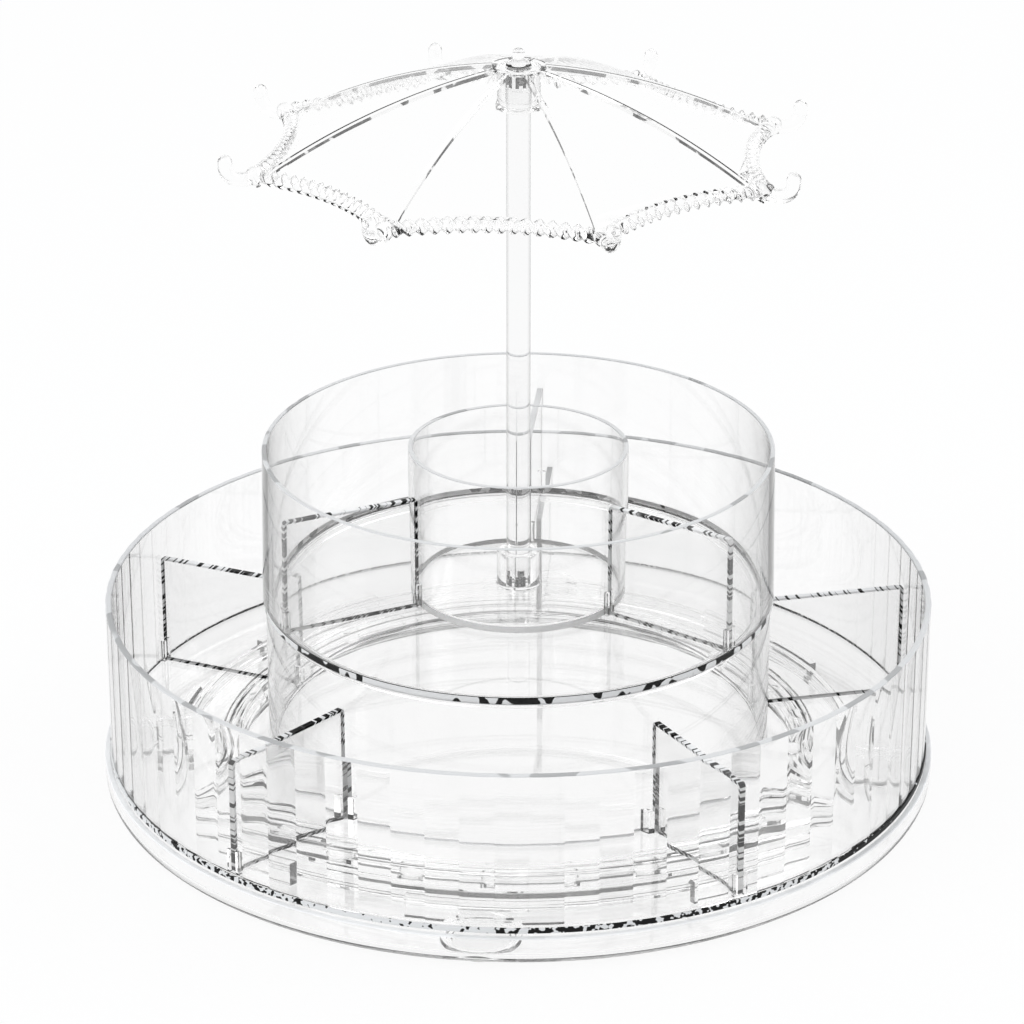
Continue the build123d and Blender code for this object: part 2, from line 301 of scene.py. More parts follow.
def surface_wear():
    """Node group: faint handling marks and mould waviness, from Object coordinates."""
    group = bpy.data.node_groups.new("moulded_surface", "ShaderNodeTree")
    face = group.interface
    for name in ("Smooth", "Smeared", "Mark Scale", "Wave Scale"):
        face.new_socket(name, in_out="INPUT", socket_type="NodeSocketFloat")
    for name in ("Roughness", "Height"):
        face.new_socket(name, in_out="OUTPUT", socket_type="NodeSocketFloat")
    nodes, links = group.nodes, group.links
    given = nodes.new("NodeGroupInput")
    out = nodes.new("NodeGroupOutput")
    place = nodes.new("ShaderNodeTexCoord")
    marks = noise(group, place.outputs["Object"], given.outputs["Mark Scale"], 4)
    waves = noise(group, place.outputs["Object"], given.outputs["Wave Scale"], 1)
    spread = nodes.new("ShaderNodeMapRange")
    spread.inputs["From Min"].default_value = 0.45
    spread.inputs["From Max"].default_value = 0.75
    links.new(marks, spread.inputs["Value"])
    links.new(given.outputs["Smooth"], spread.inputs["To Min"])
    links.new(given.outputs["Smeared"], spread.inputs["To Max"])
    links.new(spread.outputs["Result"], out.inputs["Roughness"])
    links.new(waves, out.inputs["Height"])
    return group


def edge_reflections():
    """Node group: painted reflections, dashes along an edge, closer in some stretches than others.

    Square To Edge turns the spots into bars across the edges of an upright plate, because height
    and distance from the axis both stay the same across such an edge.
    """
    group = bpy.data.node_groups.new("edge_reflections", "ShaderNodeTree")
    face = group.interface
    for name in ("Dash Scale", "Stretch Scale", "Stretch Depth", "Dark Share", "Square To Edge"):
        face.new_socket(name, in_out="INPUT", socket_type="NodeSocketFloat")
    for name in ("Gap Tone", "Dash Tone"):
        face.new_socket(name, in_out="INPUT", socket_type="NodeSocketColor")
    face.new_socket("Color", in_out="OUTPUT", socket_type="NodeSocketColor")
    nodes, links = group.nodes, group.links
    given = nodes.new("NodeGroupInput")
    out = nodes.new("NodeGroupOutput")
    place = nodes.new("ShaderNodeTexCoord")
    flat = nodes.new("ShaderNodeVectorMath")
    flat.operation = "MULTIPLY"
    flat.inputs[1].default_value = (1, 1, 0)
    links.new(place.outputs["Object"], flat.inputs[0])
    outward = nodes.new("ShaderNodeVectorMath")
    outward.operation = "LENGTH"
    links.new(flat.outputs["Vector"], outward.inputs[0])
    split = nodes.new("ShaderNodeSeparateXYZ")
    links.new(place.outputs["Object"], split.inputs["Vector"])
    line = nodes.new("ShaderNodeCombineXYZ")
    along = worked_out(group, "ADD", outward.outputs["Value"], split.outputs["Z"])
    links.new(along, line.inputs["X"])
    spot = nodes.new("ShaderNodeMix")
    spot.data_type = "VECTOR"
    links.new(given.outputs["Square To Edge"], spot.inputs["Factor"])
    links.new(place.outputs["Object"], spot.inputs["A"])
    links.new(line.outputs["Vector"], spot.inputs["B"])
    dashes = noise(group, spot.outputs["Result"], given.outputs["Dash Scale"], 1)
    stretches = noise(group, place.outputs["Object"], given.outputs["Stretch Scale"], 1)
    closer = worked_out(group, "SUBTRACT", stretches, 0.5)
    level = worked_out(group, "MULTIPLY_ADD", closer, given.outputs["Stretch Depth"],
                       given.outputs["Dark Share"])
    under = worked_out(group, "SUBTRACT", level, dashes)
    crisp = nodes.new("ShaderNodeMapRange")
    crisp.interpolation_type = "SMOOTHSTEP"
    crisp.inputs["From Min"].default_value = -0.015
    crisp.inputs["From Max"].default_value = 0.015
    links.new(under, crisp.inputs["Value"])
    tone = nodes.new("ShaderNodeMix")
    tone.data_type = "RGBA"
    links.new(crisp.outputs["Result"], tone.inputs["Factor"])
    links.new(given.outputs["Gap Tone"], tone.inputs["A"])
    links.new(given.outputs["Dash Tone"], tone.inputs["B"])
    links.new(tone.outputs["Result"], out.inputs["Color"])
    return group


def grey(tone):
    """Colour without a tint."""
    return (tone, tone, tone, 1)


def with_values(node, values):
    """Sets a node's inputs by name."""
    for name, value in values.items():
        node.inputs[name].default_value = value
    return node


def clear_material(name, tone, wear, wave_strength, smooth=0.0, smeared=0.02):
    """Clear moulded plastic: refracting, with faint marks and mould waviness."""
    material = bpy.data.materials.new(name)
    material.use_nodes = True
    tree = material.node_tree
    gloss = with_values(tree.nodes["Principled BSDF"], {
        "Base Color": grey(tone), "IOR": plastic_ior, "Transmission Weight": 1.0})
    marks = tree.nodes.new("ShaderNodeGroup")
    marks.node_tree = wear
    with_values(marks, {"Smooth": smooth, "Smeared": smeared, "Mark Scale": 40, "Wave Scale": 18})
    bump = tree.nodes.new("ShaderNodeBump")
    bump.inputs["Strength"].default_value = wave_strength
    bump.inputs["Distance"].default_value = 0.0002
    tree.links.new(marks.outputs["Roughness"], gloss.inputs["Roughness"])
    tree.links.new(marks.outputs["Height"], bump.inputs["Height"])
    tree.links.new(bump.outputs["Normal"], gloss.inputs["Normal"])
    return material


def edge_material(name, reflections, scales, share, tones, clear=0.0, depth=0.9, square=0.0):
    """Narrow face of clear plastic, painted pale and dark in stretches, as trapped light leaves it.

    scales are those of the dashes and of the stretches, tones those of the gaps and the dashes.
    """
    material = bpy.data.materials.new(name)
    material.use_nodes = True
    tree = material.node_tree
    gloss = with_values(tree.nodes["Principled BSDF"], {
        "Roughness": 0.3 * (1 - clear), "IOR": plastic_ior,
        "Specular IOR Level": 0.1 + 0.4 * clear, "Transmission Weight": clear})
    dashes = tree.nodes.new("ShaderNodeGroup")
    dashes.node_tree = reflections
    with_values(dashes, {
        "Dash Scale": scales[0], "Stretch Scale": scales[1], "Stretch Depth": depth,
        "Dark Share": share, "Square To Edge": square,
        "Gap Tone": grey(tones[0]), "Dash Tone": grey(tones[1])})
    tree.links.new(dashes.outputs["Color"], gloss.inputs["Base Color"])
    return material


def outlined(material, start, tone):
    """Painted shade: darkens a clear colour towards a piece's outline, where its sides are steep.
    """
    tree = material.node_tree
    colour = tree.nodes["Principled BSDF"].inputs["Base Color"]
    steep = tree.nodes.new("ShaderNodeLayerWeight")
    steep.inputs["Blend"].default_value = 0.5
    ramp = tree.nodes.new("ShaderNodeValToRGB")
    ramp.color_ramp.elements[0].position = start
    ramp.color_ramp.elements[0].color = colour.default_value
    ramp.color_ramp.elements[1].color = grey(tone)
    tree.links.new(steep.outputs["Facing"], ramp.inputs["Fac"])
    tree.links.new(ramp.outputs["Color"], colour)
    return material


def at(radius, height):
    """Place on the right-hand side of the axis, in metres."""
    return (radius * MM, 0, height * MM)


def nothing_selected():
    """Deselects all objects."""
    bpy.ops.object.select_all(action="DESELECT")


def only(piece):
    """Selects one piece and makes it the active one."""
    nothing_selected()
    piece.select_set(True)
    bpy.context.view_layer.objects.active = piece


def edit_all():
    """Starts to edit the active piece, all of it."""
    bpy.ops.object.mode_set(mode="EDIT")
    bpy.ops.mesh.select_all(action="SELECT")


def pushed(x, y, z):
    """Extrudes what is selected by a step in millimetres."""
    step = {"value": (x * MM, y * MM, z * MM)}
    bpy.ops.mesh.extrude_region_move(TRANSFORM_OT_translate=step)


def settle(piece):
    """Puts the piece's place into its mesh, merges doubles and points its faces outwards."""
    only(piece)
    bpy.ops.object.transform_apply(location=True, rotation=True, scale=True)
    edit_all()
    bpy.ops.mesh.remove_doubles(threshold=same_point * MM)
    bpy.ops.mesh.normals_make_consistent(inside=False)
    bpy.ops.object.mode_set(mode="OBJECT")
    return piece


def rounded(piece, width, segments=2, angle=60):
    """Rounds the edges that are sharper than an angle."""
    only(piece)
    edge = piece.modifiers.new("edge", "BEVEL")
    edge.width = width * MM
    edge.segments = segments
    edge.limit_method = "ANGLE"
    edge.angle_limit = radians(angle)
    edge.use_clamp_overlap = True
    bpy.ops.object.modifier_apply(modifier=edge.name)
    return piece


def combined(piece, tool, operation, crosses_itself=False):
    """Joins a solid to the piece, or cuts it out, and removes the tool."""
    only(piece)
    change = piece.modifiers.new("change", "BOOLEAN")
    change.operation = operation
    change.solver = "EXACT"
    change.use_self = crosses_itself
    change.object = tool
    bpy.ops.object.modifier_apply(modifier=change.name)
    bpy.data.objects.remove(tool)
    return piece


def joined(pieces):
    """One piece of several that don't touch."""
    nothing_selected()
    for piece in pieces:
        piece.select_set(True)
    bpy.context.view_layer.objects.active = pieces[0]
    if len(pieces) > 1:
        bpy.ops.object.join()
    return pieces[0]


def turned_copy(piece, name, angle):
    """Copy of a piece with its own mesh, turned about the axis."""
    only(piece)
    bpy.ops.object.duplicate()
    copy = bpy.context.object
    copy.name = name
    copy.rotation_euler = (0, 0, radians(angle))
    bpy.ops.object.transform_apply(location=False, rotation=True, scale=False)
    return copy


def ring_of(piece, count, first=0):
    """The piece repeated round the axis, all in one piece."""
    name = piece.name
    angles = [first + 360 / count * k for k in range(count)]
    copies = [turned_copy(piece, name + "_copy", angle) for angle in angles]
    bpy.data.objects.remove(piece)
    whole = joined(copies)
    whole.name = name
    return whole


def drawn(name, points):
    """Line through points given as radius and height, pulled out of one vertex, in edit mode."""
    nothing_selected()
    bpy.ops.mesh.primitive_plane_add(size=MM, location=(0, 0, 0))
    piece = bpy.context.object
    piece.name = name
    edit_all()
    bpy.ops.mesh.merge(type="CENTER")
    radius, height = points[0]
    bpy.ops.transform.translate(value=at(radius, height))
    for next_radius, next_height in points[1:]:
        step = ((next_radius - radius) * MM, 0, (next_height - height) * MM)
        bpy.ops.mesh.extrude_vertices_move(TRANSFORM_OT_translate={"value": step})
        radius, height = next_radius, next_height
    bpy.ops.mesh.select_all(action="SELECT")
    return piece


def turned(name, points, steps=256):
    """Solid turned from a line that starts and ends on the axis, or that closes on itself."""
    piece = drawn(name, points)
    bpy.ops.mesh.spin(steps=steps, angle=2 * pi, center=(0, 0, 0), axis=(0, 0, 1))
    bpy.ops.object.mode_set(mode="OBJECT")
    return settle(piece)


def turned_part(name, points, sweep, steps):
    """Part of a turned solid, from the right-hand side on, with closed ends."""
    piece = drawn(name, points)
    bpy.ops.mesh.remove_doubles(threshold=same_point * MM)
    bpy.ops.mesh.edge_face_add()
    bpy.ops.mesh.select_all(action="SELECT")
    bpy.ops.mesh.spin(steps=steps, angle=-radians(sweep), center=(0, 0, 0), axis=(0, 0, 1))
    bpy.ops.object.mode_set(mode="OBJECT")
    return settle(piece)


def arc(centre, radius, start, end, count):
    """Points on an arc of a profile, from one angle to another."""
    points = []
    for k in range(count + 1):
        angle = radians(start + (end - start) * k / count)
        points.append((centre[0] + radius * cos(angle), centre[1] + radius * sin(angle)))
    return points


def plate(name, inner, outer, low, high, thickness, corner):
    """Upright plate along +X with rounded corners, pulled out of a flat one."""
    nothing_selected()
    middle = ((inner + outer) / 2 * MM, thickness / 2 * MM, (low + high) / 2 * MM)
    bpy.ops.mesh.primitive_plane_add(size=1, location=middle, rotation=(pi / 2, 0, 0))
    piece = bpy.context.object
    piece.name = name
    piece.scale = ((outer - inner) * MM, (high - low) * MM, 1)
    bpy.ops.object.transform_apply(location=True, rotation=True, scale=True)
    edit_all()
    if corner:
        bpy.ops.mesh.bevel(offset=corner * MM, segments=5, affect="VERTICES")
        bpy.ops.mesh.select_all(action="SELECT")
    pushed(0, -thickness, 0)
    bpy.ops.object.mode_set(mode="OBJECT")
    return settle(piece)


def bordered(piece, width):
    """Marks off a strip along the outline of a plate's two large faces."""
    only(piece)
    bpy.ops.object.mode_set(mode="EDIT")
    bpy.ops.mesh.select_all(action="DESELECT")
    bpy.ops.object.mode_set(mode="OBJECT")
    largest = max(face.area for face in piece.data.polygons)
    for face in piece.data.polygons:
        face.select = face.area > largest / 2
    bpy.ops.object.mode_set(mode="EDIT")
    bpy.ops.mesh.inset(thickness=width * MM, depth=0)
    bpy.ops.object.mode_set(mode="OBJECT")
    return piece


def smoothed(piece, angle):
    """Shades the piece smooth over edges that are flatter than an angle."""
    only(piece)
    bpy.ops.object.shade_smooth_by_angle(angle=radians(angle))
    even = piece.modifiers.new("even", "WEIGHTED_NORMAL")
    even.weight = 100
    even.keep_sharp = True
    bpy.ops.object.modifier_apply(modifier=even.name)
    return piece


def refinished(piece, material, chosen):
    """Gives some faces of a finished piece another finish."""
    piece.data.materials.append(material)
    index = len(piece.data.materials) - 1
    for face in piece.data.polygons:
        if chosen(face.center / MM, face.normal):
            face.material_index = index
    return piece


def from_axis(place):
    """Distance of a point from the organizer's axis."""
    return sqrt(place.x ** 2 + place.y ** 2)


def above(level):
    """Chooses the faces over a height."""
    return lambda place, normal: place.z > level


def outer_foot(radius, level):
    """Chooses the faces outside a radius and under a height."""
    return lambda place, normal: from_axis(place) > radius and place.z < level


def lying_flat(place, normal):
    """Whether a face lies flat."""
    return abs(normal.z) > 0.8


def dressed(piece, name, body, material, nodes):
    """Names a finished piece, gives it its material, ties it to its body and hides its CAD nodes.
    """
    piece.name = name
    piece.data.name = name
    piece.data.materials.clear()
    piece.data.materials.append(material)
    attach(piece, body)
    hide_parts(*nodes)
    return piece


def make_base(material, rim_material):
    """Dish with a rounded foot, a ball race, foot bosses and snap tabs."""
    wall_inner = base_radius - base_wall
    points = [(0, base_bottom)]
    centre = (base_radius - base_edge_round, base_bottom + base_edge_round)
    points += arc(centre, base_edge_round, -90, 0, 10)
    points += [(base_radius, base_rim_top), (wall_inner, base_rim_top)]
    centre = (wall_inner - base_inner_round, base_floor_top + base_inner_round)
    points += arc(centre, base_inner_round, 0, -90, 8)
    points += race(base_floor_top, 1)
    points += [(0, base_floor_top)]
    dish = turned("base", points)
    rounded(dish, 0.35)

    boss = turned("boss", disc(boss_radius, base_bottom + overlap, boss_top), 64)
    recess = turned("recess", disc(foot_radius + recess_play, 0, foot_top), 64)
    for tool, operation in ((boss, "UNION"), (recess, "DIFFERENCE")):
        tool.location.x = foot_ring_radius * MM
        settle(tool)
        combined(dish, ring_of(tool, foot_count), operation)

    inner = tab_radius - tab_thickness / 2
    outer = tab_radius + tab_thickness / 2
    low = base_floor_top - overlap
    barb = tab_top - barb_height
    points = [(inner, low), (outer, low), (outer, tab_top), (inner, tab_top)]
    points += [(inner - barb_reach, barb), (inner, barb), (inner, low)]
    tab = turned_part("tab", points, tab_span, 16)
    combined(dish, ring_of(tab, tab_count, -tab_span / 2), "UNION")
    settle(dish)
    smoothed(dish, 12)
    dressed(dish, "base_dish", "base", material, ["base_plate"])

    # The rim band gets painted reflections.
    def on_rim(place, normal):
        return place.z > base_rim_top - rim_band and from_axis(place) > wall_inner - 1

    return refinished(dish, rim_material, on_rim)


def disc(radius, low, high):
    """Profile of a plain disc."""
    return [(0, low), (radius, low), (radius, high), (0, high)]


def race(level, up):
    """Profile of a ball race that stands off a plate, from its outer to its inner edge."""
    top = level + up * race_height
    reach = sqrt(groove_radius ** 2 - (ball_height - top) ** 2)
    half = degrees(asin(reach / groove_radius))
    outer = bearing_radius + race_half_width
    inner = bearing_radius - race_half_width
    centre = (bearing_radius, ball_height)
    groove = arc(centre, groove_radius, -up * (90 - half), -up * (90 + half), 8)
    return [(outer, level), (outer, top)] + groove + [(inner, top), (inner, level)]


def make_feet(material):
    """Four soft pads with a chamfered, slightly hollow sole."""
    points = [(0, sole_hollow), (foot_radius - sole_hollow_edge, sole_hollow)]
    points += [(foot_radius - sole_ring_edge, 0), (foot_radius - sole_chamfer, 0)]
    points += [(foot_radius, sole_chamfer), (foot_radius, foot_top - seat_gap)]
    points += [(0, foot_top - seat_gap)]
    pad = turned("pad", points, 64)
    pad.location.x = foot_ring_radius * MM
    settle(pad)
    smoothed(pad, 20)
    pads = ring_of(pad, foot_count)
    return dressed(pads, "foot_pads", "base", material, ["base_feet"])


def make_bearing(material):
    """Cage with a pocket for each ball, and the balls."""
    low = ball_height - cage_thickness / 2
    high = ball_height + cage_thickness / 2
    inner = bearing_radius - cage_half_width
    outer = bearing_radius + cage_half_width
    cage = turned("cage", [(inner, low), (outer, low), (outer, high), (inner, high), (inner, low)])
    nothing_selected()
    spot = at(bearing_radius, ball_height)
    bpy.ops.mesh.primitive_cylinder_add(
        vertices=24, radius=pocket_radius * MM, depth=2.5 * cage_thickness * MM, location=spot)
    pockets = ring_of(settle(bpy.context.object), ball_count)
    combined(cage, pockets, "DIFFERENCE")
    settle(cage)
    smoothed(cage, 6)
    dressed(cage, "bearing_cage_ring", "bearing", material, ["bearing_cage"])
    nothing_selected()
    bpy.ops.mesh.primitive_uv_sphere_add(
        segments=24, ring_count=16, radius=ball_radius * MM, location=spot)
    balls = ring_of(smoothed(settle(bpy.context.object), 60), ball_count)
    dressed(balls, "bearing_ball_set", "bearing", material, ["bearing_balls"])


def fluted_wall():
    """Ring with shallow flutes outside and a plain round inside."""
    half_pitch = radians(180 / flute_count)
    chord_distance = tray_radius - flute_rise
    chord_half = chord_distance * sin(half_pitch) / cos(half_pitch)
    flute_radius = (chord_half ** 2 + flute_rise ** 2) / (2 * flute_rise)
    flute_angle = 2 * asin(chord_half / flute_radius)
    low = tray_floor_top - wall_root
    wall = drawn("wall", [(chord_distance, low)])
    bpy.ops.transform.translate(value=(0, -chord_half * MM, 0))
    centre = ((tray_radius - flute_radius) * MM, 0, low * MM)
    bpy.ops.mesh.spin(steps=flute_steps, angle=-flute_angle, center=centre, axis=(0, 0, 1))
    bpy.ops.mesh.select_all(action="SELECT")
    bpy.ops.mesh.spin(
        steps=flute_count, dupli=True, angle=2 * pi, center=(0, 0, 0), axis=(0, 0, 1))
    bpy.ops.mesh.select_all(action="SELECT")
    bpy.ops.mesh.remove_doubles(threshold=0.02 * MM)
    bpy.ops.mesh.primitive_circle_add(
        vertices=flute_steps * flute_count, radius=(tray_radius - tray_wall) * MM,
        location=at(0, low))
    bpy.ops.mesh.select_all(action="SELECT")
    bpy.ops.mesh.bridge_edge_loops()
    bpy.ops.mesh.select_all(action="SELECT")
    pushed(0, 0, tray_rim - low)
    bpy.ops.object.mode_set(mode="OBJECT")
    return rounded(settle(wall), 0.5, 3)


def guide_ribs(faces, level, count):
    """Short pairs of ribs at a floor; faces are pairs of radii that each rib spans."""
    pairs = []
    for inner, outer in faces:
        for side in (-1, 1):
            low = level - guide_root
            rib = plate("rib", inner, outer, low, level + guide_height, guide_width, 0)
            rib.location.y = side * guide_side * MM
            pairs.append(settle(rib))
    return ring_of(joined(pairs), count, 90)


def make_tray(material, floor_material, rim_material, corner_material, faint_material):
    """Tray in one moulding: floor, race, snap skirt, drum and fluted wall."""
    edge = tray_radius + floor_reach
    drum_inner = drum_radius - drum_wall
    drum_high = drum_top - seat_gap
    points = [(0, tray_bottom)]
    points += race(tray_bottom, -1)[::-1]
    inner = skirt_radius - skirt_thickness
    points += [(inner, tray_bottom), (inner, skirt_bottom), (skirt_lip_radius, skirt_bottom)]
    points += [(skirt_lip_radius, skirt_lip_top), (skirt_radius, skirt_lip_top)]
    points += [(skirt_radius, tray_bottom), (edge, tray_bottom), (edge, tray_floor_top)]
    points += [(drum_radius, tray_floor_top), (drum_radius, tray_floor_top + drum_foot_band)]
    points += [(drum_radius, drum_high), (drum_inner, drum_high)]
    points += [(drum_inner, tray_floor_top), (0, tray_floor_top)]
    tray = turned("tray", points)
    rounded(tray, 0.3)
    combined(tray, fluted_wall(), "UNION")
    wall_face = tray_radius - tray_wall
    faces = [(drum_radius - overlap, lower_divider_inner + guide_reach),
             (lower_divider_outer - guide_reach, wall_face + overlap)]
    combined(tray, guide_ribs(faces, tray_floor_top, lower_divider_count), "UNION")
    settle(tray)
    smoothed(tray, 6)
    dressed(tray, "tray", "tray", material, ["tray_floor", "tray_wall", "drum"])
    # The walls are painted darker at their outline; rim, drum ends and outer corner get painted
    # reflections.
    refinished(tray, floor_material, lying_flat)
    refinished(tray, rim_material, above(tray_rim - tray_rim_band))

    def on_drum_end(place, normal):
        near = min(abs(place.z - tray_floor_top), abs(place.z - drum_top)) < 0.7
        return near and abs(from_axis(place) - drum_radius) < 0.6

    refinished(tray, faint_material, on_drum_end)
    return refinished(tray, corner_material, outer_foot(tray_radius - 0.1, tray_floor_top + 0.1))


def make_dividers(material, cut_material, pale_material):
    """Flat lift-out plates of both levels, edges painted with reflections; pale at the back, seen
    edge-on.
    """
    lower = (lower_divider_inner, lower_divider_outer, tray_floor_top, lower_divider_count)
    upper = (upper_divider_inner, upper_divider_outer, cup_floor_top, upper_divider_count)
    for name, level in (("lower_divider_", lower), ("upper_divider_", upper)):
        inner, outer, floor, count = level
        low = floor + seat_gap
        high = low + divider_height - seat_gap
        first = plate("divider", inner, outer, low, high, divider_thickness, divider_corner)
        smoothed(bordered(rounded(first, 0.12), painted_edge_strip), 20)
        for k in range(count):
            node = name + str(k + 1)
            side = radians(90 + 360 / count * k)
            out = (cos(side), sin(side), 0)

            def on_edge(place, normal):
                across = inner + 2 < place.dot(out) < outer - 2
                upright = low + 2 < place.z < high - 2
                return abs(normal.cross(out).z) < 0.8 or not (across and upright)

            copy = turned_copy(first, node, degrees(side))
            dressed(copy, node + "_plate", node, material, [node])
            # The edges get painted reflections, painted pale on the divider at the back.
            refinished(copy, pale_material if k == 0 else cut_material, on_edge)
        bpy.data.objects.remove(first)


def make_cups(material, floor_material, rim_material, foot_material, faint_material):
    """Upper cup with a spigot ring under it, and centre cup with the pole's socket."""
    inner = cup_rim_radius - cup_wall
    spigot_inner = spigot_radius - spigot_wall
    points = [(0, cup_bottom), (spigot_inner, cup_bottom)]
    points += [(spigot_inner, cup_bottom - spigot_depth)]
    points += [(spigot_radius, cup_bottom - spigot_depth), (spigot_radius, cup_bottom)]
    points += arc((cup_foot_radius - cup_round, cup_bottom + cup_round), cup_round, -90, 0, 5)
    points += [(cup_foot_radius, cup_floor_top + foot_band)]
    points += [(cup_rim_radius, cup_rim), (inner, cup_rim)]
    points += arc((inner - cup_round, cup_floor_top + cup_round), cup_round, 0, -90, 5)
    points += [(0, cup_floor_top)]
    cup = rounded(turned("cup", points), 0.4, 3)
    faces = [(upper_divider_outer - guide_reach, inner + overlap)]
    combined(cup, guide_ribs(faces, cup_floor_top, upper_divider_count), "UNION")
    settle(cup)
    smoothed(cup, 20)
    dressed(cup, "upper_cup_shell", "upper_cup", material, ["upper_cup"])
    # The cup's walls are painted darker at their outline; rim and foot get painted reflections.
    refinished(cup, floor_material, lying_flat)
    refinished(cup, rim_material, above(cup_rim - rim_band))
    refinished(cup, foot_material, outer_foot(cup_rim_radius - 0.3, cup_floor_top + foot_band))

    inner = centre_radius - centre_wall
    low = cup_floor_top + seat_gap
    foot_high = centre_floor_top + foot_band
    lead_in = socket_lead_in
    points = [(0, low), (centre_radius, low), (centre_radius, foot_high)]
    points += [(centre_radius, cup_rim), (inner, cup_rim)]
    points += arc((inner - cup_round, centre_floor_top + cup_round), cup_round, 0, -90, 5)
    points += [(socket_radius, centre_floor_top), (socket_radius, socket_top)]
    points += [(pole_bore_radius + lead_in, socket_top), (pole_bore_radius, socket_top - lead_in)]
    points += [(pole_bore_radius, centre_floor_top), (0, centre_floor_top)]
    cup = rounded(turned("centre", points, 192), 0.35, 3)
    faces = [(centre_radius - overlap, upper_divider_inner + guide_reach)]
    ribs = guide_ribs(faces, cup_floor_top + centre_guide_rise, upper_divider_count)
    combined(cup, ribs, "UNION")
    settle(cup)
    smoothed(cup, 20)
    dressed(cup, "centre_cup_shell", "centre_cup", material, ["centre_cup"])
    # The centre cup's walls are painted darker at their outline; rim and foot get painted
    # reflections.
    refinished(cup, floor_material, lying_flat)
    refinished(cup, rim_material, above(cup_rim - rim_band))
    refinished(cup, faint_material, outer_foot(centre_radius - 0.3, foot_high))


def make_pole(material, groove_material):
    """Round rod with chamfered ends and short grooves round each end."""
    low = centre_floor_top + seat_gap
    high = pole_top - seat_gap
    chamfer = pole_end_chamfer
    points = [(0, low), (pole_radius - chamfer, low), (pole_radius, low + chamfer)]
    points += [(pole_radius, high - chamfer), (pole_radius - chamfer, high), (0, high)]
    pole = turned("pole", points, 96)
    length = pole_tooth_length + pole_tooth_run_out
    for middle in (low - pole_tooth_run_out + length / 2, high - pole_tooth_length + length / 2):
        nothing_selected()
        bpy.ops.mesh.primitive_cylinder_add(
            vertices=12, radius=pole_tooth_depth * MM, depth=length * MM,
            location=at(pole_radius, middle))
        combined(pole, ring_of(settle(bpy.context.object), pole_tooth_count), "DIFFERENCE")
    smoothed(settle(pole), 6)
    dressed(pole, "pole_rod", "pole", material, ["pole"])

    # The rod is painted darker towards its outline, and the grooves' sides get painted dark
    # reflections.
    def in_groove(place, normal):
        return 2 < from_axis(place) < pole_radius - 0.05 and abs(normal.z) < 0.5

    return refinished(pole, groove_material, in_groove)


def bowed(start, end, bulge, count):
    """Points on a shallow bow between two profile points."""
    across = end[0] - start[0]
    up = end[1] - start[1]
    length = sqrt(across ** 2 + up ** 2)
    points = []
    for k in range(count + 1):
        share = k / count
        rise = 4 * bulge * share * (1 - share) / length
        radius = start[0] + across * share - up * rise
        points.append((radius, start[1] + up * share + across * rise))
    return points


def edge_bow():
    """Radius of the hollow curve between two corners, and how far out its middle lies."""
    half_chord = rib_tip_radius * sin(pi / panel_count)
    scallop = (half_chord ** 2 + edge_sag ** 2) / (2 * edge_sag)
    return scallop, rib_tip_radius * cos(pi / panel_count) - edge_sag + scallop


def canopy_sheet():
    """Eight panels folded at the ribs, hollow-curved at the edge, with a rib under each fold."""
    def rib_line(drop):
        start = (rib_start_radius, rib_start_height - drop)
        return bowed(start, (rib_tip_radius, rib_tip_height - drop), rib_bulge, rib_steps)

    sheet = drawn("sheet", rib_line(0))
    bpy.ops.mesh.spin(steps=panel_count, angle=2 * pi, center=(0, 0, 0), axis=(0, 0, 1))
    bpy.ops.object.mode_set(mode="OBJECT")
    settle(sheet)
    if sheet.data.polygons[0].normal.z < 0:
        sheet.data.flip_normals()
    only(sheet)
    wall = sheet.modifiers.new("wall", "SOLIDIFY")
    wall.thickness = canopy_thickness * MM
    wall.offset = -1
    wall.use_even_offset = True
    bpy.ops.object.modifier_apply(modifier=wall.name)

    top = rib_line(rib_root)
    low = rib_line(canopy_thickness + rib_depth)
    rib = drawn("rib", top + low[::-1] + top[:1])
    bpy.ops.mesh.remove_doubles(threshold=same_point * MM)
    bpy.ops.mesh.edge_face_add()
    bpy.ops.transform.translate(value=(0, rib_width / 2 * MM, 0))
    pushed(0, -rib_width, 0)
    bpy.ops.object.mode_set(mode="OBJECT")
    combined(sheet, ring_of(settle(rib), panel_count), "UNION")

    scallop, centre = edge_bow()
    nothing_selected()
    bpy.ops.mesh.primitive_cylinder_add(
        vertices=360, radius=(scallop + edge_tuck) * MM, depth=80 * MM,
        location=at(centre, rib_tip_height))
    cutter = settle(bpy.context.object)
    for k in range(panel_count):
        cut_angle = tip_angle + 360 / panel_count * k
        combined(sheet, turned_copy(cutter, "cutter", cut_angle), "DIFFERENCE")
    bpy.data.objects.remove(cutter)
    sheet.rotation_euler = (0, 0, radians(tip_angle))
    return smoothed(settle(sheet), 5)


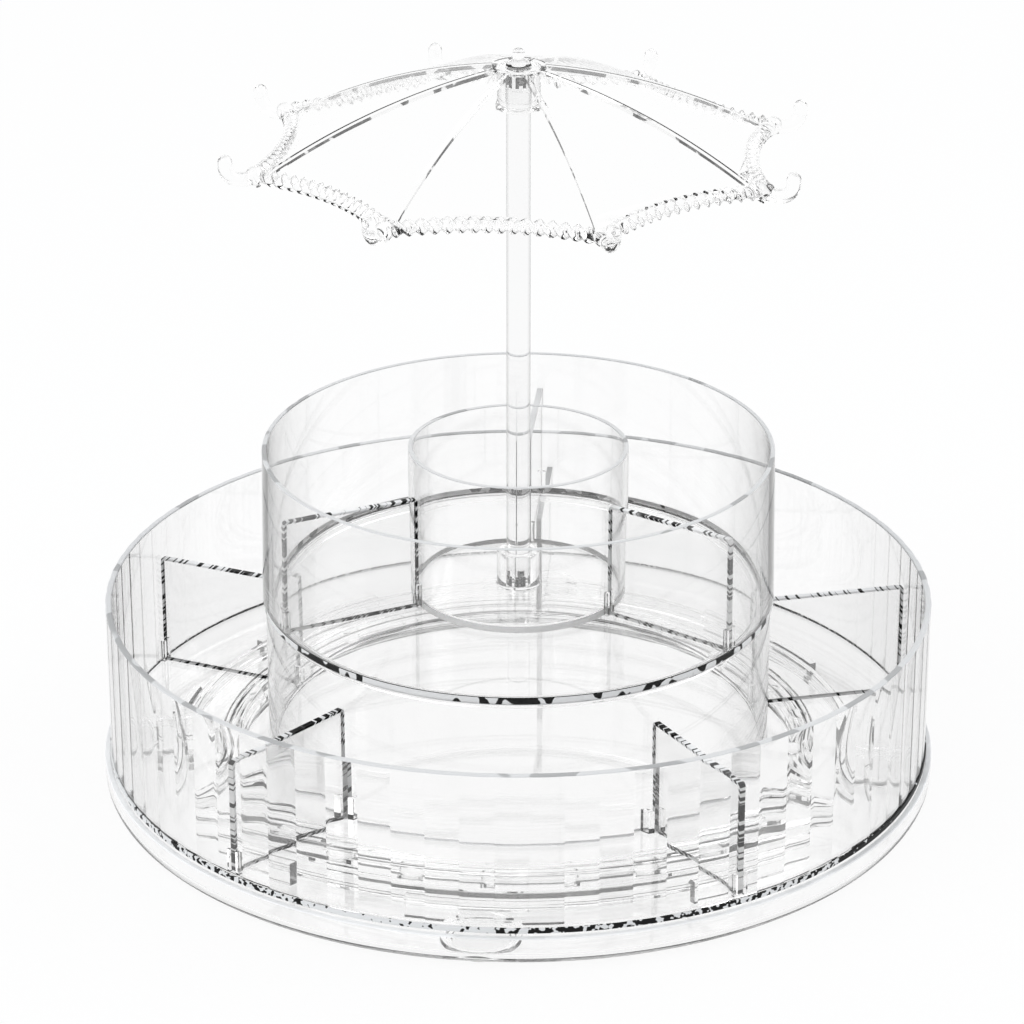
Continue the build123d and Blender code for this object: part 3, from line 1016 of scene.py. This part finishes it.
def cord_length():
    """One length of twisted cord, bowed between two corners, in its place at the front of +X."""
    scallop, centre = edge_bow()
    half_angle = asin(rib_tip_radius * sin(pi / panel_count) / scallop)
    length = 2 * scallop * half_angle
    half_turns = round(length / (rope_lay / 2))
    nothing_selected()
    bpy.ops.mesh.primitive_circle_add(
        vertices=20, radius=rope_radius * MM, location=(0, 0, 0), rotation=(0, pi / 2, 0))
    cord = bpy.context.object
    cord.name = "cord"
    cord.scale = (1, rope_flatness, 1)
    bpy.ops.object.transform_apply(location=True, rotation=True, scale=True)
    twist = cord.modifiers.new("twist", "SCREW")
    twist.axis = "X"
    twist.angle = pi
    twist.screw_offset = length / half_turns * MM
    twist.iterations = half_turns
    twist.steps = 8
    twist.render_steps = 8
    bpy.ops.object.modifier_apply(modifier=twist.name)
    edit_all()
    bpy.ops.mesh.remove_doubles(threshold=same_point * MM)
    bpy.ops.mesh.select_all(action="DESELECT")
    bpy.ops.mesh.select_non_manifold()
    bpy.ops.mesh.edge_face_add()
    bpy.ops.mesh.select_all(action="SELECT")
    bpy.ops.transform.translate(value=(-length / 2 * MM, 0, 0))
    bpy.ops.object.mode_set(mode="OBJECT")
    bend = cord.modifiers.new("bend", "SIMPLE_DEFORM")
    bend.deform_method = "BEND"
    bend.deform_axis = "Z"
    bend.angle = 2 * half_angle
    bpy.ops.object.modifier_apply(modifier=bend.name)
    cord.rotation_euler = (0, 0, -pi / 2)
    settle(cord)
    cord.rotation_euler = (0, sin(edge_lift / edge_sag), 0)
    settle(cord)
    cord.location = at(centre - scallop, rope_height + edge_lift)
    return settle(cord)


def roped_edge():
    """Twisted cord round the canopy's edge, with a knob where two lengths meet."""
    cord = smoothed(cord_length(), 50)
    cords = ring_of(cord, panel_count)
    nothing_selected()
    bpy.ops.mesh.primitive_uv_sphere_add(
        segments=32, ring_count=20, radius=knob_radius * MM,
        location=at(rib_tip_radius, rope_height))
    knobs = ring_of(smoothed(settle(bpy.context.object), 50), panel_count, tip_angle)
    return joined([cords, knobs])


def hook_ring():
    """Eight hooks: out from a corner, then turned up to a round end."""
    nothing_selected()
    start = rib_tip_radius + hook_root
    bend_start = hook_reach - hook_bend_radius
    bend_top = hook_height + hook_bend_radius
    bpy.ops.mesh.primitive_circle_add(
        vertices=24, radius=hook_radius * MM, fill_type="NGON",
        location=at(start, hook_height), rotation=(0, pi / 2, 0))
    hook = bpy.context.object
    hook.name = "hook"
    edit_all()
    pushed(bend_start - start, 0, 0)
    bpy.ops.mesh.spin(steps=14, angle=pi / 2, center=at(bend_start, bend_top), axis=(0, 1, 0))
    pushed(0, 0, hook_end_height - bend_top)
    steps = 6
    for k in range(1, steps + 1):
        before = radians(90 * (k - 1) / steps)
        now = radians(90 * k / steps)
        rise = hook_radius * (sin(now) - sin(before))
        size = max(cos(now), 0.02) / cos(before)
        pushed(0, 0, rise)
        bpy.ops.transform.resize(value=(size, size, 1))
    bpy.ops.object.mode_set(mode="OBJECT")
    return ring_of(smoothed(settle(hook), 50), panel_count, tip_angle)


def hub_and_finial():
    """Flanged socket under a round crown, with a dome and a small ball on top, in one turning."""
    lead_in = socket_lead_in
    flange_top = hub_bottom + hub_flange_height
    points = [(0, pole_top), (pole_bore_radius, pole_top), (pole_bore_radius, hub_bottom + lead_in)]
    points += [(pole_bore_radius + lead_in, hub_bottom), (hub_flange_radius, hub_bottom)]
    points += [(hub_flange_radius, flange_top), (hub_radius, flange_top)]
    points += [(hub_radius, crown_bottom), (crown_radius, crown_bottom), (crown_radius, crown_top)]
    bow = (dome_radius ** 2 + dome_height ** 2) / (2 * dome_height)
    start = degrees(asin((bow - dome_height) / bow))
    stop = degrees(acos(neck_radius / bow))
    points += arc((0, crown_top + dome_height - bow), bow, start, stop, 10)
    under = degrees(asin(neck_radius / finial_radius))
    points += arc((0, finial_height), finial_radius, -90 + under, 90, 20)
    return smoothed(rounded(turned("hub", points, 96), 0.25, 3), 28)


def make_umbrella(material, rib_material, hub_material, rope_material):
    """Canopy, roped edge, hooks, hub and finial, which are one moulding."""
    umbrella = canopy_sheet()
    edge = roped_edge()
    combined(umbrella, edge, "UNION", crosses_itself=True)
    combined(umbrella, hook_ring(), "UNION")
    combined(umbrella, hub_and_finial(), "UNION")
    only(umbrella)
    bpy.ops.object.mode_set(mode="EDIT")
    bpy.ops.mesh.select_all(action="DESELECT")
    bpy.ops.mesh.edges_select_sharp(sharpness=radians(50))
    bpy.ops.mesh.mark_sharp()
    bpy.ops.object.mode_set(mode="OBJECT")
    nodes = ["canopy", "canopy_edge", "hooks", "umbrella_socket", "finial"]
    dressed(umbrella, "umbrella", "umbrella", material, nodes)

    # The hub and the rope's sides are painted darker towards their outlines; the ribs' sides get
    # painted dark reflections.
    def on_hub(place, normal):
        return from_axis(place) < hub_flange_radius + 0.1 and place.z < crown_bottom

    refinished(umbrella, hub_material, on_hub)
    refinished(umbrella, rope_material, on_rope)
    return refinished(umbrella, rib_material, on_rib_side)


def on_rib_side(place, normal):
    """Whether a face of the umbrella is one of the ribs' upright sides."""
    if not crown_radius + 1 < from_axis(place) < rib_tip_radius - 4:
        return False
    for k in range(panel_count):
        angle = radians(tip_angle + 360 / panel_count * k)
        aside = place.y * cos(angle) - place.x * sin(angle)
        turned_aside = normal.y * cos(angle) - normal.x * sin(angle)
        along = place.x * cos(angle) + place.y * sin(angle)
        if along > 0 and abs(aside) < rib_width / 2 + 0.1 and abs(turned_aside) > 0.9:
            return True
    return False


def on_rope(place, normal):
    """Whether a face of the umbrella is on the steep sides of the roped edge or of its knobs."""
    if abs(normal.z) > 0.8:
        return False
    scallop, centre = edge_bow()
    for k in range(panel_count):
        angle = 2 * pi / panel_count * k
        along = place.x * cos(angle) + place.y * sin(angle)
        aside = place.y * cos(angle) - place.x * sin(angle)
        off_line = abs(sqrt((along - centre) ** 2 + aside ** 2) - scallop)
        if 0 < along < centre and off_line < rope_radius and from_axis(place) < rib_tip_radius + 3:
            return True
    return False


place_camera()
make_studio()
wear = surface_wear()
dashes = edge_reflections()
clear_plastic = clear_material("clear_plastic", 0.995, wear, 0.05)
# Wall, rod and rope plastics are painted darker towards their outlines: painted shade.
wall_plastic_painted_outline = outlined(clear_material("clear_plastic_wall_painted_outline", 0.995, wear, 0.05), 0.4, 0.5)
clear_rod = outlined(clear_material("clear_rod", 0.96, wear, 0.02, smeared=0.01), 0.35, 0.05)
rope_plastic_painted_outline = outlined(clear_material("clear_plastic_rope_painted_outline", 0.99, wear, 0.02), 0.5, 0.05)
divider_sheet = clear_material("clear_plastic_sheet", 0.91, wear, 0.02)
foot_pads = clear_material("foot_pads", 0.97, wear, 0.1, smooth=0.1, smeared=0.2)
# Edge materials are painted reflections: grey and pale bands, and dark dashes along edges.
rim_painted_reflections = edge_material("clear_plastic_rim_painted_reflections", dashes, (60, 12), 0.4, (0.72, 0.45))
faint_painted_reflections = edge_material("clear_plastic_faint_painted_reflections", dashes, (60, 12), 0.4, (0.98, 0.88))
cut_edge_painted_reflections = edge_material("clear_plastic_cut_edge", dashes, (520, 40), 0.49, (0.92, 0.004),
                         depth=0.35, square=1.0)
tray_corner_painted_reflections = edge_material("clear_plastic_corner_painted_reflections", dashes, (560, 9), 0.5, (0.8, 0.01))
cup_foot = edge_material("clear_plastic_foot", dashes, (210, 26), 0.42, (0.9, 0.02))
rod_groove = edge_material("clear_rod_groove", dashes, (700, 60), 0.55, (0.7, 0.01))
rib_painted_reflections = edge_material("clear_plastic_rib_painted_reflections", dashes, (190, 60), 0.46, (0.92, 0.012), clear=1.0)
make_base(clear_plastic, faint_painted_reflections)
make_feet(foot_pads)
make_bearing(clear_plastic)
make_tray(wall_plastic_painted_outline, clear_plastic, rim_painted_reflections, tray_corner_painted_reflections, faint_painted_reflections)
make_dividers(divider_sheet, cut_edge_painted_reflections, rim_painted_reflections)
make_cups(wall_plastic_painted_outline, clear_plastic, rim_painted_reflections, cup_foot, faint_painted_reflections)
make_pole(clear_rod, rod_groove)
make_umbrella(clear_plastic, rib_painted_reflections, clear_rod, rope_plastic_painted_outline)

bpy.context.scene.view_settings.view_transform = "Standard"

# Light crosses many clear walls before it leaves the organizer.
bpy.context.scene.cycles.max_bounces = 32
bpy.context.scene.cycles.transmission_bounces = 32
bpy.context.scene.cycles.glossy_bounces = 8
